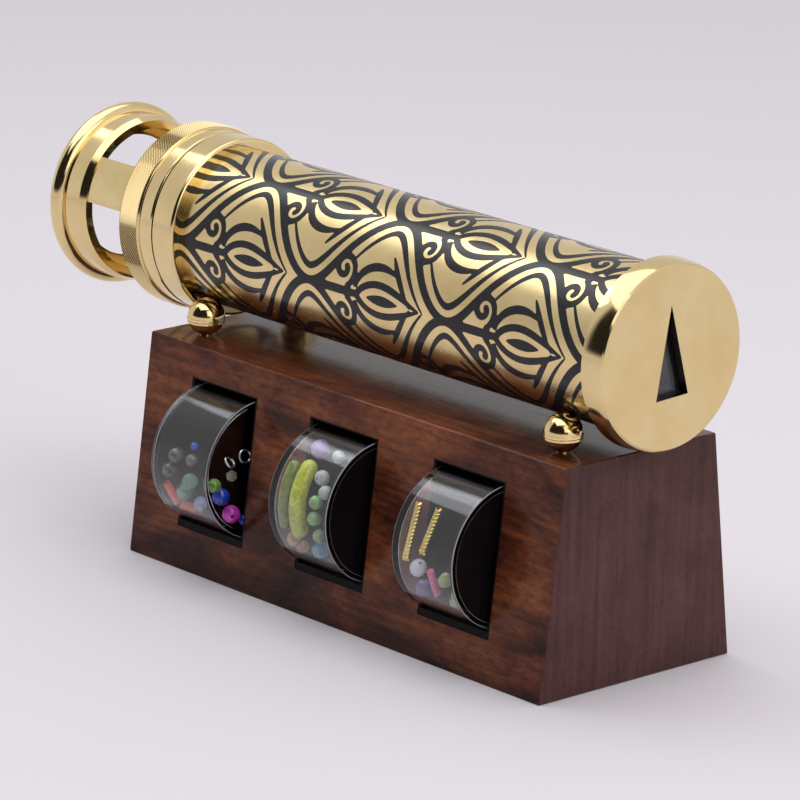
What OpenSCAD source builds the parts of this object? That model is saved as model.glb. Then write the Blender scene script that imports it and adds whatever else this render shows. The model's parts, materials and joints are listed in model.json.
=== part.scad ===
// Brass kaleidoscope that lies on a wooden stand, with three spare object cells in the stand.
// X runs along the tube towards the eyepiece, -Y is the front with the pockets, and Z is up.
// The origin is in the middle of the base's underside. Angles round the tube are measured
// from +Y through +Z.

/* [Base] */
// Length of the wooden base
base_len = 193.5; // [190:0.5:220]
// Depth of the base at the bottom
base_depth = 78.5; // [77:0.5:90]
// Depth of the base at the top
base_top = 61.4; // [58:0.2:64]
// Height of the base
base_h = 71.5; // [70:0.5:80]
// Width of the broken edges of the base
base_edge = 0.4; // [0.3:0.1:1.5]
// Thickness of the felt let into the underside
felt_t = 1.5; // [1:0.1:2]
// Margin between the felt and the edge of the base
felt_margin = 5; // [3:0.5:8]

/* [Pockets] */
// Width of each pocket
pocket_w = 32; // [31.6:0.1:34]
// Height of each pocket up the sloping face
pocket_h = 48.4; // [48.2:0.1:50]
// Lower edge of the pockets, measured up the sloping face
pocket_low = 13.7; // [10:0.1:16]
// Distance from pocket to pocket
pocket_pitch = 57.3; // [50:0.1:60]
// Shift of the row of pockets along the base
pocket_shift = -1; // [-3:0.5:3]
// Depth of the liner's edge behind the wood
liner_sunk = 0.2; // [0.1:0.1:2]
// Thickness of the liner's two side walls
liner_side = 0.9; // [0.8:0.1:1.2]
// Thickness of the liner below the cell
liner_floor = 2.3; // [2:0.1:2.4]
// Thickness of the liner behind the cell
liner_back = 1.5; // [1:0.1:3]

/* [Cells] */
// Outside diameter of a cell
cell_d = 44.9; // [44:0.1:45]
// Length of a cell
cell_len = 27; // [24:0.1:27.4]
// Wall thickness of the clear drum
cell_wall = 1.8; // [1.5:0.1:2]
// Thickness of the black end disc
cell_back_t = 2; // [1.5:0.1:2.2]
// Depth of a cell's axis behind the sloping face
cell_sink = 6.6; // [5:0.1:9]
// Play of a cell in its liner, on the diameter
cell_play = 0.6; // [0.4:0.1:0.8]

/* [Tube] */
// Outside diameter of the long tube, 2 inch stock
tube_d = 50.8; // [50:0.1:51]
// Wall thickness of the long tube
tube_wall = 1.6; // [1.2:0.1:1.8]
// Left end of the tube, from the middle of the base
tube_left = -97; // [-100:0.5:-95]
// Right end of the tube, from the middle of the base
tube_right = 105.3; // [103:0.1:110]

/* [Ball rests] */
// Diameter of each ball
ball_d = 12; // [11:0.1:13]
// Distance of the balls from the middle, along the base
ball_x = 83; // [78:0.5:86]
// Distance of the balls from the middle, across the base
ball_y = 19.4; // [17:0.1:21]
// Diameter of the stud below each ball
stud_d = 4; // [3:0.1:5]
// Length of the stud below each ball
stud_len = 14; // [10:0.5:16]

/* [Eyepiece] */
// Diameter of the eyepiece cap where it is widest
cap_d = 58.4; // [57.4:0.1:60]
// Length of the eyepiece cap
cap_len = 8.2; // [7.5:0.1:10]
// Thickness of the cap's face
cap_face = 2.5; // [2.2:0.1:3]
// Radius of the cap's gently swelling side, along the tube
cap_crown = 30; // [25:1:60]
// Width of the cap's broken edges
cap_edge = 0.4; // [0.2:0.1:0.8]
// Height of the triangular eyehole
eye_h = 28.4; // [26:0.1:29]
// Height of the eyehole's point above the tube's axis
eye_tip = 16.2; // [15:0.1:17]
// Number of mirrored sectors, which sets the angle between the mirrors
sectors = 14; // [12:2:16]
// Lean of the mirrors and the eyehole in the tube
prism_lean = 2.75; // [-5:0.25:5]

/* [Mirrors] */
// Thickness of the mirror glass
mirror_t = 3; // [2:0.1:3.2]
// Thickness of the black panel that closes the triangle
panel_t = 2; // [1.5:0.1:2.5]
// Thickness of the discs that hold the mirrors in the tube
disc_t = 6; // [4:0.5:8]

/* [Turning end] */
// Diameter of the plain collar on the tube
collar_d = 57.6; // [56.5:0.1:58]
// Diameter of the knurled part of the turning ring
knurl_d = 60; // [59:0.1:62]
// Length of the knurled part
knurl_len = 9.7; // [8:0.1:11]
// Diameter of the plain part of the turning ring
band_d = 58; // [57.4:0.1:58.6]
// Outside diameter of the cage
cage_d = 51.8; // [51.6:0.1:52]
// Inside diameter of the cage
cage_bore = 47.2; // [47:0.1:47.6]
// Length of the cage from the knurl to its end
cage_len = 30.1; // [30:0.1:31]
// Width of each of the three ribs
rib_w = 15.2; // [12:0.1:18]
// Turn of the ribs about the tube's axis
rib_turn = 36; // [0:1:120]
// Diameter of the round bead on the flange
bead_d = 6; // [5:0.1:6.4]
// Diameter of the flange's opening
flange_bore = 40; // [38:0.5:42]

/* [Hidden] */

BRASS = [0.80, 0.66, 0.38];
BRONZE = [0.62, 0.45, 0.24];
ROSEWOOD = [0.33, 0.14, 0.09];
BLACK = [0.06, 0.06, 0.07];
CLEAR = [0.85, 0.88, 0.92, 0.35];
GLASS = [0.75, 0.85, 0.85, 0.4];
SILVER = [0.75, 0.76, 0.78];

ROUND = 128;
// Radial gap of a running fit
run_fit = 0.05;
// Gap between pieces that are pushed or glued together
snug = 0.02;
// Length by which a cutter passes through a face
over = 1;

base_lean = atan((base_depth - base_top) / 2 / base_h);
ball_r = ball_d / 2;
tube_r = tube_d / 2;
tube_bore = tube_r - tube_wall;
// Height of the tube's axis where the tube rests on the four balls
rest_gap = 0.05;
axis_z = base_h + ball_r + sqrt(pow(tube_r + ball_r + rest_gap, 2) - pow(ball_y, 2));

cell_r = cell_d / 2;
cell_in = cell_r - cell_wall;
hollow_r = cell_r + cell_play / 2;
hollow_mid = pocket_low + liner_floor + hollow_r;
pocket_depth = cell_sink + hollow_r + liner_back;
// A cell lies on the bottom of its hollow, with this much air left under it
cell_air = 0.05;
cell_drop = hollow_r - cell_r - cell_air;
cell_y = -base_depth / 2 + hollow_mid * sin(base_lean) + cell_sink * cos(base_lean);
cell_z = hollow_mid * cos(base_lean) - cell_sink * sin(base_lean) - cell_drop;

mirror_angle = 360 / sectors;
eye_half = eye_h * tan(mirror_angle / 2);
mirror_h = eye_h / cos(mirror_angle / 2);
// Length of the mirrors beyond the tube's left end, and their distance from its right end
prism_past = 16.5;
prism_short = 1.8;
prism_left = tube_left - prism_past;
prism_right = tube_right - prism_short;
// Air between the mirrors' lower edges and the black panel
panel_gap = 0.05;
panel_half = eye_half + mirror_t - 0.4;
// Distance of the outer two discs from the tube's ends
disc_inset = [7, 10];
disc_at = [tube_left + disc_inset[0], 0, tube_right - disc_inset[1]];
glass_t = 1.5;
// Widest place of the cap's side, from the tube's right end
cap_widest = tube_right - 4.9;

// Lengths along the turning end
collar_grip = 7.6;
collar_len = 10;
spigot_len = 9.8;
nose_len = 8.2;
ring_gap = 0.4;
band_len = 5.7;
cage_grip = 6;
window_gap = 1.3;
flange_grip = 9;
// Stations along the turning end, from right to left
collar_x1 = tube_left + collar_grip;
collar_x0 = collar_x1 - collar_len;
spigot_x0 = collar_x0 - spigot_len;
nose_x0 = spigot_x0 - nose_len;
ring_x1 = collar_x0 - ring_gap;
knurl_x1 = ring_x1 - band_len;
knurl_x0 = knurl_x1 - knurl_len;
cage_x1 = knurl_x0 + cage_grip;
cage_x0 = knurl_x0 - cage_len;
window_x1 = knurl_x0 - window_gap;
window_x0 = cage_x0 + flange_grip;

// Wall of the bearing bush, with the running fits on both of its sides
bush_t = 1.35;
spigot_r = cage_d / 2 - bush_t;
nose_play = 0.4;
nose_r = cage_bore / 2 - nose_play;
// The nose is bored for the object glass, and a thin lip at its end holds the glass
collar_bore = 21.8;
lip_r = 20.5;
lip_t = 1;
bush_lip = 0.6;
object_glass_t = 2;
retainer_t = 2;

// A turned piece: its profile is drawn as [radius, place along the tube]
module turned() {
    translate([0, 0, axis_z]) rotate([0, 90, 0]) rotate_extrude($fn = ROUND) children();
}

// A plain ring or tube about the tube's axis
module pipe(r_out, r_in, x0, x1) {
    turned() translate([r_in, x0]) square([r_out - r_in, x1 - x0]);
}

// A flat disc about the tube's axis
module disc(r, x0, x1) {
    turned() translate([0, x0]) square([r, x1 - x0]);
}

// Puts a shape that is drawn in [along, up the slope, out of the face] on the front face
module on_front(x) {
    translate([x, -base_depth / 2, 0]) rotate([90 - base_lean, 0, 0]) children();
}

// Extrudes a profile that is drawn as [y, z] along X, evenly to both sides
module along_x(len) {
    rotate([90, 0, 90]) linear_extrude(len, center = true) children();
}

function pocket_x(n) = pocket_shift + (n - 2) * pocket_pitch;

// Section of the base, drawn in by e on its sides and its top and bottom
module base_section(e) {
    half_low = base_depth / 2 - e;
    half_top = base_top / 2 - e;
    polygon([[-half_low, 0], [half_low, 0], [half_top, base_h], [-half_top, base_h]]);
}

module wood_body() {
    hull() {
        along_x(base_len - 2 * base_edge) intersection() {
            base_section(0);
            translate([-base_depth, base_edge]) square([2 * base_depth, base_h - 2 * base_edge]);
        }
        along_x(base_len - 2 * base_edge) base_section(base_edge);
        along_x(base_len) intersection() {
            base_section(base_edge);
            translate([-base_depth, base_edge]) square([2 * base_depth, base_h - 2 * base_edge]);
        }
    }
}

module felt_block(margin, t) {
    len = base_len - 2 * margin;
    depth = base_depth - 2 * margin;
    translate([-len / 2, -depth / 2, 0]) cube([len, depth, t]);
}

module wood_base() {
    color(ROSEWOOD) difference() {
        wood_body();
        for (n = [1:3])
            on_front(pocket_x(n))
                translate([-pocket_w / 2, pocket_low, -pocket_depth])
                    cube([pocket_w, pocket_h, pocket_depth + over]);
        for (i = [1:4])
            translate([ball_side(i) * ball_x, ball_row(i) * ball_y, base_h - stud_len - 0.5])
                cylinder(d = stud_d + 2 * run_fit, h = stud_len + 0.5 + over, $fn = 48);
        translate([0, 0, -over]) felt_block(felt_margin, felt_t + over);
    }
}

module base_felt() {
    color([0.10, 0.20, 0.13]) felt_block(felt_margin + 0.2, felt_t);
}

// Black liner of a pocket, with a hollow that the cell's drum lies in
module cell_cradle(n) {
    side_gap = 0.1;
    color(BLACK) on_front(pocket_x(n)) difference() {
        translate([-pocket_w / 2 + side_gap, pocket_low, -pocket_depth])
            cube([pocket_w - 2 * side_gap, pocket_h - side_gap, pocket_depth - liner_sunk]);
        along_x(pocket_w - 2 * side_gap - 2 * liner_side) {
            translate([hollow_mid, -cell_sink]) circle(hollow_r, $fn = ROUND);
            translate([hollow_mid - hollow_r, -cell_sink]) square([2 * hollow_r, cell_sink + over]);
        }
    }
}

// Ball rests: 1 and 2 in front, 3 and 4 behind, the odd ones on the left
function ball_side(i) = i % 2 == 1 ? -1 : 1;
function ball_row(i) = i <= 2 ? -1 : 1;

// A turned brass ball with two raised bands below its equator, and a stud in the wood
module ball_rest(i) {
    color(BRASS) translate([ball_side(i) * ball_x, ball_row(i) * ball_y, base_h + ball_r])
        rotate_extrude($fn = 64) {
            intersection() {
                circle(ball_r, $fn = 64);
                translate([0, -ball_r]) square(2 * ball_r);
            }
            translate([0, -0.9]) square([ball_r + 0.15, 0.8]);
            translate([0, -1.8]) square([ball_r + 0.05, 0.6]);
            translate([0, -ball_r - stud_len]) square([stud_d / 2, stud_len + 1]);
        }
}

module barrel_tube() {
    color(BRASS) pipe(tube_r, tube_bore, tube_left, tube_right);
}

// The triangle between the mirrors, as [y, z] from the tube's axis
module eye_triangle() {
    polygon([[0, eye_tip], [-eye_half, eye_tip - eye_h], [eye_half, eye_tip - eye_h]]);
}

// Turns the mirrors' section with their lean and stretches it from x0 to x1
module prism_span(x0, x1) {
    translate([(x0 + x1) / 2, 0, axis_z]) rotate([prism_lean, 0, 0]) along_x(x1 - x0) children();
}

// Section of one mirror, grown by g on every side
module mirror_section(side, g) {
    translate([0, eye_tip])
        rotate(side * mirror_angle / 2)
            translate([side > 0 ? -g : -mirror_t - g, -mirror_h - g])
                square([mirror_t + 2 * g, mirror_h + 2 * g - snug]);
}

module panel_section(g) {
    translate([-panel_half - g, eye_tip - eye_h - panel_gap - panel_t - g])
        square([2 * (panel_half + g), panel_t + 2 * g]);
}

// Outline of the cap: a gently swelling side between two broken edges
module cap_outline() {
    r = cap_d / 2;
    front = tube_right + cap_face;
    back = front - cap_len;
    front_fall = cap_crown - sqrt(pow(cap_crown, 2) - pow(front - cap_widest, 2)) + cap_edge;
    intersection() {
        polygon([
            [0, back], [r - cap_edge, back], [r, back + cap_edge],
            [r, front - front_fall], [r - front_fall, front], [0, front]
        ]);
        translate([r - cap_crown, cap_widest]) circle(cap_crown, $fn = 4 * ROUND);
    }
}

module eyepiece_cap() {
    back = tube_right + cap_face - cap_len;
    color(BRASS) difference() {
        turned() difference() {
            cap_outline();
            translate([0, back - over]) square([tube_r + snug, tube_right - back + over]);
        }
        prism_span(tube_right - over, tube_right + cap_face + over) eye_triangle();
    }
}

module eyepiece_glass() {
    x1 = tube_right - 0.1;
    color(GLASS) disc(tube_bore - 0.1, x1 - glass_t, x1);
}

module mirror_front() {
    color(SILVER) prism_span(prism_left, prism_right) mirror_section(-1, 0);
}

module mirror_back() {
    color(SILVER) prism_span(prism_left, prism_right) mirror_section(1, 0);
}

module black_panel() {
    color(BLACK) prism_span(prism_left, prism_right) panel_section(0);
}

// A disc that fills the tube round the mirrors
module prism_disc(i) {
    x0 = disc_at[i - 1] - disc_t / 2;
    color([0.25, 0.24, 0.22]) difference() {
        disc(tube_bore - run_fit, x0, x0 + disc_t);
        prism_span(x0 - over, x0 + disc_t + over) {
            eye_triangle();
            mirror_section(-1, run_fit);
            mirror_section(1, run_fit);
            panel_section(run_fit);
        }
    }
}

// Collar on the tube's left end, with the spigot that the end turns on and the lens nose
module tube_collar() {
    r = collar_d / 2;
    edge = 0.5;
    bend = 1;
    color(BRASS) turned() difference() {
        union() {
            polygon([
                [0, nose_x0], [nose_r, nose_x0], [nose_r, spigot_x0], [spigot_r, spigot_x0],
                [spigot_r, collar_x0], [r - edge, collar_x0], [r, collar_x0 + edge],
                [r, collar_x1 - bend], [r - bend, collar_x1 - bend],
                [r - bend, collar_x1], [0, collar_x1]
            ]);
            translate([r - bend, collar_x1 - bend]) circle(bend, $fn = 32);
        }
        translate([0, tube_left]) square([tube_r + snug, collar_grip + over]);
        translate([0, nose_x0 + lip_t]) square([collar_bore, tube_left - nose_x0]);
        translate([0, nose_x0 - over]) square([lip_r, lip_t + 2 * over]);
    }
}

module object_glass() {
    x0 = nose_x0 + lip_t + run_fit;
    color(GLASS) disc(collar_bore - 0.1, x0, x0 + object_glass_t);
}

module glass_retainer() {
    x0 = nose_x0 + lip_t + object_glass_t + 2 * run_fit;
    color(BLACK) pipe(collar_bore - run_fit, lip_r - 0.2, x0, x0 + retainer_t);
}

module bearing_bush() {
    color(BRONZE) pipe(cage_d / 2 - run_fit, spigot_r + run_fit, cage_x1 + 0.3, ring_x1 - bush_lip - 0.2);
}

// Turning ring: a plain band, a V groove and the wider part that carries the knurl
module knurled_ring() {
    bore = cage_d / 2 + snug;
    lip = spigot_r + 0.45;
    band = band_d / 2;
    knurl = knurl_d / 2;
    edge = 0.5;
    groove = 0.4;
    color(BRASS) turned() polygon([
        [bore, knurl_x0], [knurl - edge, knurl_x0], [knurl, knurl_x0 + edge],
        [knurl, knurl_x1 - edge], [knurl - edge, knurl_x1], [band - groove, knurl_x1],
        [band, knurl_x1 + groove], [band, ring_x1 - groove], [band - groove, ring_x1],
        [lip, ring_x1], [lip, ring_x1 - bush_lip], [bore, ring_x1 - bush_lip]
    ]);
}

// Tube with three windows, milled so that three ribs are left
module cage_tube() {
    r = cage_d / 2;
    rib_angle = 2 * asin(rib_w / 2 / r);
    color(BRASS) difference() {
        pipe(r, cage_bore / 2, cage_x0, cage_x1);
        for (i = [0:2])
            translate([0, 0, axis_z])
                rotate([rib_turn + rib_angle / 2 + i * 120, 0, 0])
                    rotate([90, 0, 90])
                        translate([0, 0, window_x0])
                            rotate_extrude(angle = 120 - rib_angle, $fn = ROUND)
                                translate([cage_bore / 2 - over, 0])
                                    square([r - cage_bore / 2 + 2 * over, window_x1 - window_x0]);
    }
}

// End flange: a bevel, a plain band, a V groove and a round bead, with an open bore
module end_flange() {
    bore = cage_d / 2 + snug;
    bead_r = bead_d / 2;
    groove_x = cage_x0 - 0.9;
    bead_x = groove_x - bead_r;
    groove_r = knurl_d / 2 - bead_r;
    bevel_len = 2.5;
    mouth_r = flange_bore / 2 + 2.2;
    color(BRASS) union() {
        turned() polygon([
            [bore, window_x0], [bore + 0.3, window_x0], [bore + 1.4, window_x0 - bevel_len],
            [bore + 1.6, cage_x0 + 0.1], [groove_r - 0.4, groove_x - 0.3], [groove_r, bead_x],
            [groove_r - 0.5, bead_x - bead_r], [mouth_r, bead_x - bead_r],
            [flange_bore / 2, cage_x0 - 1], [flange_bore / 2, cage_x0], [bore, cage_x0]
        ]);
        turned() translate([groove_r, bead_x]) circle(bead_r, $fn = 48);
    }
}

// Moves a shape to the middle of cell n
module in_cell(n) {
    translate([pocket_x(n), cell_y, cell_z]) children();
}

// Cell 1 has its clear end to the right, the other two have it to the left
module facing(n) {
    mirror([n == 1 ? 1 : 0, 0, 0]) children();
}

module cell_drum(n) {
    color(CLEAR) in_cell(n) facing(n) rotate([0, 90, 0]) difference() {
        cylinder(r = cell_r, h = cell_len, center = true, $fn = ROUND);
        translate([0, 0, cell_wall - cell_len / 2]) cylinder(r = cell_in, h = cell_len, $fn = ROUND);
    }
}

module cell_end_disc(n) {
    color(BLACK) in_cell(n) facing(n)
        translate([cell_len / 2 - cell_back_t, 0, 0])
            rotate([0, 90, 0]) cylinder(r = cell_in - snug, h = cell_back_t, $fn = ROUND);
}

// Place on a circle about the cell's axis, at angle t
function on_ring(x, t, r) = [x, r * cos(t), r * sin(t)];
// Place of a bead of radius r that touches the drum's wall at angle t
function at_wall(x, t, r) = on_ring(x, t, cell_in - r - 0.1);

module bead(place, r) {
    translate(place) sphere(r, $fn = 48);
}

// A straight stick from one place to another, with flat ends
module stick(a, b, r) {
    d = b - a;
    translate(a)
        rotate([0, acos(d.z / norm(d)), atan2(d.y, d.x)])
            cylinder(r = r, h = norm(d), $fn = 32);
}

// A tube that is bent along the wall from angle t0 to angle t1, with round ends
module bent_tube(x, t0, t1, r) {
    ring = cell_in - r - 0.1;
    translate([x, 0, 0]) rotate([90, 0, 90]) rotate([0, 0, t0])
        rotate_extrude(angle = t1 - t0, $fn = 64) translate([ring, 0]) circle(r, $fn = 32);
    bead(on_ring(x, t0, ring), 0.98 * r);
    bead(on_ring(x, t1, ring), 0.98 * r);
}

// A cut stone: a short eight-sided waist between two points
module crystal(place, r, lean) {
    translate(place) rotate([lean, lean / 2, 0]) {
        cylinder(r = r, h = r * 0.6, center = true, $fn = 8);
        translate([0, 0, r * 0.3]) cylinder(r1 = r, r2 = r * 0.4, h = r * 0.6, $fn = 8);
        mirror([0, 0, 1]) translate([0, 0, r * 0.3]) cylinder(r1 = r, r2 = r * 0.4, h = r * 0.6, $fn = 8);
    }
}

// A rod twisted from two wires, from one place to another
module twisted_rod(a, b, r) {
    d = b - a;
    translate(a)
        rotate([0, acos(d.z / norm(d)), atan2(d.y, d.x)])
            linear_extrude(norm(d), twist = 40 * norm(d), slices = 1.4 * norm(d))
                for (s = [-1, 1]) translate([s * r * 0.42, 0]) circle(r * 0.58, $fn = 8);
}

// A ring bent from wire
module wire_ring(place, r, wire, turn) {
    translate(place) rotate(turn) rotate_extrude($fn = 32) translate([r, 0]) circle(wire, $fn = 16);
}

module cell_1_blue_beads() {
    color([0.05, 0.15, 0.75]) in_cell(1) {
        bead(on_ring(8.7, 211, 15), 2.8);
        bead(on_ring(9.5, 258, 17.5), 2);
        bead(at_wall(2.8, 156, 1.3), 1.3);
    }
}

module cell_1_pink_bead() {
    color([0.9, 0.15, 0.75]) in_cell(1) bead(on_ring(8.6, 239, 16.6), 2.9);
}

module cell_1_green_bead() {
    color([0.25, 0.45, 0.12]) in_cell(1) bead(on_ring(9.2, 192, 16.4), 2.3);
}

module cell_1_teal_beads() {
    color([0.35, 0.6, 0.5]) in_cell(1) {
        bead(at_wall(0.9, 192, 2.6), 2.6);
        bead(at_wall(-3.6, 207, 2.6), 2.6);
    }
}

module cell_1_smoke_beads() {
    color([0.3, 0.33, 0.32]) in_cell(1) {
        bead(at_wall(-5.8, 170, 2.4), 2.4);
        bead(at_wall(-8.6, 186, 2.4), 2.4);
        bead(at_wall(2.4, 169, 2), 2);
    }
}

module cell_1_lilac_bead() {
    color([0.6, 0.6, 0.85]) in_cell(1) bead(at_wall(3, 216, 2.2), 2.2);
}

module cell_1_coral_sticks() {
    r = 1.2;
    color([0.95, 0.35, 0.2]) in_cell(1) {
        stick(at_wall(-9.8, 199, r), at_wall(-8.6, 221, r), r);
        stick(at_wall(-6.2, 222, r), at_wall(-1, 228, r), r);
        stick(at_wall(-9.6, 230, r), at_wall(-3, 238, r), r);
    }
}

module cell_1_wire_rings() {
    color(SILVER) in_cell(1) {
        wire_ring(on_ring(8.8, 130, 5), 2, 0.4, [10, 75, 0]);
        wire_ring(on_ring(8.4, 163, 9.5), 1.8, 0.4, [0, 50, 20]);
        translate(on_ring(10, 186, 10)) rotate([25, 80, 0]) cylinder(r = 1.9, h = 0.8, $fn = 6);
    }
}

module cell_2_yellow_tube() {
    color([0.9, 0.9, 0.1]) in_cell(2) bent_tube(-4.2, 139, 202, 2.7);
}

module cell_2_green_tube() {
    color([0.55, 0.65, 0.15]) in_cell(2) bent_tube(-9.6, 142, 198, 1.9);
}

module cell_2_purple_bead() {
    color([0.65, 0.5, 0.8]) in_cell(2) bead(at_wall(-6.2, 115, 3), 3);
}

module cell_2_pale_beads() {
    color([0.8, 0.85, 0.82]) in_cell(2) {
        bead(at_wall(3.4, 144, 2.4), 2.4);
        bead(at_wall(7.5, 156, 2.2), 2.2);
        bead(at_wall(4.1, 119, 2), 2);
    }
}

module cell_2_leaf_beads() {
    color([0.6, 0.85, 0.5]) in_cell(2) {
        bead(at_wall(4.5, 167.5, 2.2), 2.2);
        bead(at_wall(4.4, 183, 2.2), 2.2);
        bead(at_wall(5.9, 199, 2), 2);
    }
}

module cell_2_blue_crystal() {
    color([0.3, 0.65, 0.85]) in_cell(2) crystal(at_wall(-1.8, 234, 3.1), 2.8, 30);
}

module cell_2_peach_beads() {
    color([0.95, 0.75, 0.5]) in_cell(2) {
        bead(at_wall(-9.1, 217, 2.4), 2.4);
        bead(at_wall(-9, 232, 2), 2);
    }
}

module cell_3_gold_rods() {
    color([0.85, 0.65, 0.25]) in_cell(3) {
        twisted_rod(at_wall(-10.2, 137, 1.4), at_wall(-10.2, 189, 1.4), 1.3);
        twisted_rod(at_wall(-1.5, 136, 1.4), at_wall(-2.7, 178, 1.4), 1.3);
    }
}

module cell_3_pearl_bead() {
    color([0.92, 0.9, 0.95]) in_cell(3) bead(at_wall(-6.2, 196, 2.6), 2.6);
}

module cell_3_violet_bead() {
    color([0.45, 0.35, 0.65]) in_cell(3) bead(at_wall(-8.9, 226, 2.6), 2.6);
}

module cell_3_pink_stick() {
    color([0.9, 0.45, 0.6]) in_cell(3) stick(at_wall(1.2, 191, 1.1), at_wall(0.8, 216, 1.1), 1.1);
}

module cell_3_green_crystals() {
    color([0.75, 0.85, 0.55]) in_cell(3) {
        crystal(at_wall(5.4, 200, 2.8), 2.4, 20);
        crystal(at_wall(8.3, 216, 2.5), 2.1, 70);
        crystal(at_wall(4.6, 231, 2.8), 2.4, 45);
    }
}

wood_base();
base_felt();
barrel_tube();
eyepiece_cap();
eyepiece_glass();
mirror_front();
mirror_back();
black_panel();
for (i = [1:3]) prism_disc(i);
tube_collar();
object_glass();
glass_retainer();
bearing_bush();
knurled_ring();
cage_tube();
end_flange();
for (i = [1:4]) ball_rest(i);
for (i = [1:3]) cell_cradle(i);
for (i = [1:3]) cell_drum(i);
for (i = [1:3]) cell_end_disc(i);
cell_1_blue_beads();
cell_1_pink_bead();
cell_1_green_bead();
cell_1_teal_beads();
cell_1_smoke_beads();
cell_1_lilac_bead();
cell_1_coral_sticks();
cell_1_wire_rings();
cell_2_yellow_tube();
cell_2_green_tube();
cell_2_purple_bead();
cell_2_pale_beads();
cell_2_leaf_beads();
cell_2_blue_crystal();
cell_2_peach_beads();
cell_3_gold_rods();
cell_3_pearl_bead();
cell_3_violet_bead();
cell_3_pink_stick();
cell_3_green_crystals();
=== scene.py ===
import json
import math

import bmesh
import bpy
import numpy as np
from mathutils import Matrix, Vector

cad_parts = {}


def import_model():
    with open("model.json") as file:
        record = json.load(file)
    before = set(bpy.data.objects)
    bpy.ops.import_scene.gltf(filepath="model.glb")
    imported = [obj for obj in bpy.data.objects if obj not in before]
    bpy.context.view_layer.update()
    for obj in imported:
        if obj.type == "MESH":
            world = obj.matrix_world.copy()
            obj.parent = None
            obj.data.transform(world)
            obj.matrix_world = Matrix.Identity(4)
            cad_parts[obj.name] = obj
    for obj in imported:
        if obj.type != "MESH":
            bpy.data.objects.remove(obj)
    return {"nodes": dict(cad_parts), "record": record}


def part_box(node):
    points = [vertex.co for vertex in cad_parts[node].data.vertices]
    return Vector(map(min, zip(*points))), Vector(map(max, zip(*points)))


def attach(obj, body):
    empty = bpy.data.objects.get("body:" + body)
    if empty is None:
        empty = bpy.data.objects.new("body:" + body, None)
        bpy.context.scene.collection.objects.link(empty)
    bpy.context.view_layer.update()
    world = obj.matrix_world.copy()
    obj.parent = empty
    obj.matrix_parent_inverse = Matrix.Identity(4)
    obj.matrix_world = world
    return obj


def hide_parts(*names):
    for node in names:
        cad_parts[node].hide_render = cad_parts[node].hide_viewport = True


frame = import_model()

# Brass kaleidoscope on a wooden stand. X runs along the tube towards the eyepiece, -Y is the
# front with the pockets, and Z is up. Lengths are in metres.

MM = 0.001
DEG = math.radians(1)
scene = bpy.context.scene
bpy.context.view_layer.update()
rng = np.random.default_rng(7)


def radius_of(node):
    """Radius of a round node that lies along X."""
    low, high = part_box(node)
    return (high.z - low.z) / 2


# Sizes from the frame. The tube is bare between its collar and the cap.
tube_low, tube_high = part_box("barrel_tube")
TUBE_R = radius_of("barrel_tube")
AXIS = Vector((0, 0, (tube_high.z + tube_low.z) / 2))
BARE_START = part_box("tube_collar")[1].x
BARE_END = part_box("eyepiece_cap")[0].x
ring_low, ring_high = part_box("knurled_ring")
KNURL_R = radius_of("knurled_ring")
CAGE_R = radius_of("cage_tube")

# Sizes of what the solids leave out. The eyehole's black, non-metallic sides lie beyond its start in X.
ENAMEL_T = 0.06 * MM
KNURL_DEPTH = 0.3 * MM
KNURL_PITCH = 0.9 * MM
KNURL_MARGIN = 0.3 * MM
BAND_LEN = 5.7 * MM
FIT_GAP = 0.02 * MM
EYE_START = tube_high.x - 0.5 * MM
EYE_REACH = 18 * MM

# Heights between which the wood's painted light and shade change its tone
WOOD_LOW = 30 * MM
WOOD_HIGH = 45 * MM
WOOD_TOP = 70 * MM


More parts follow.
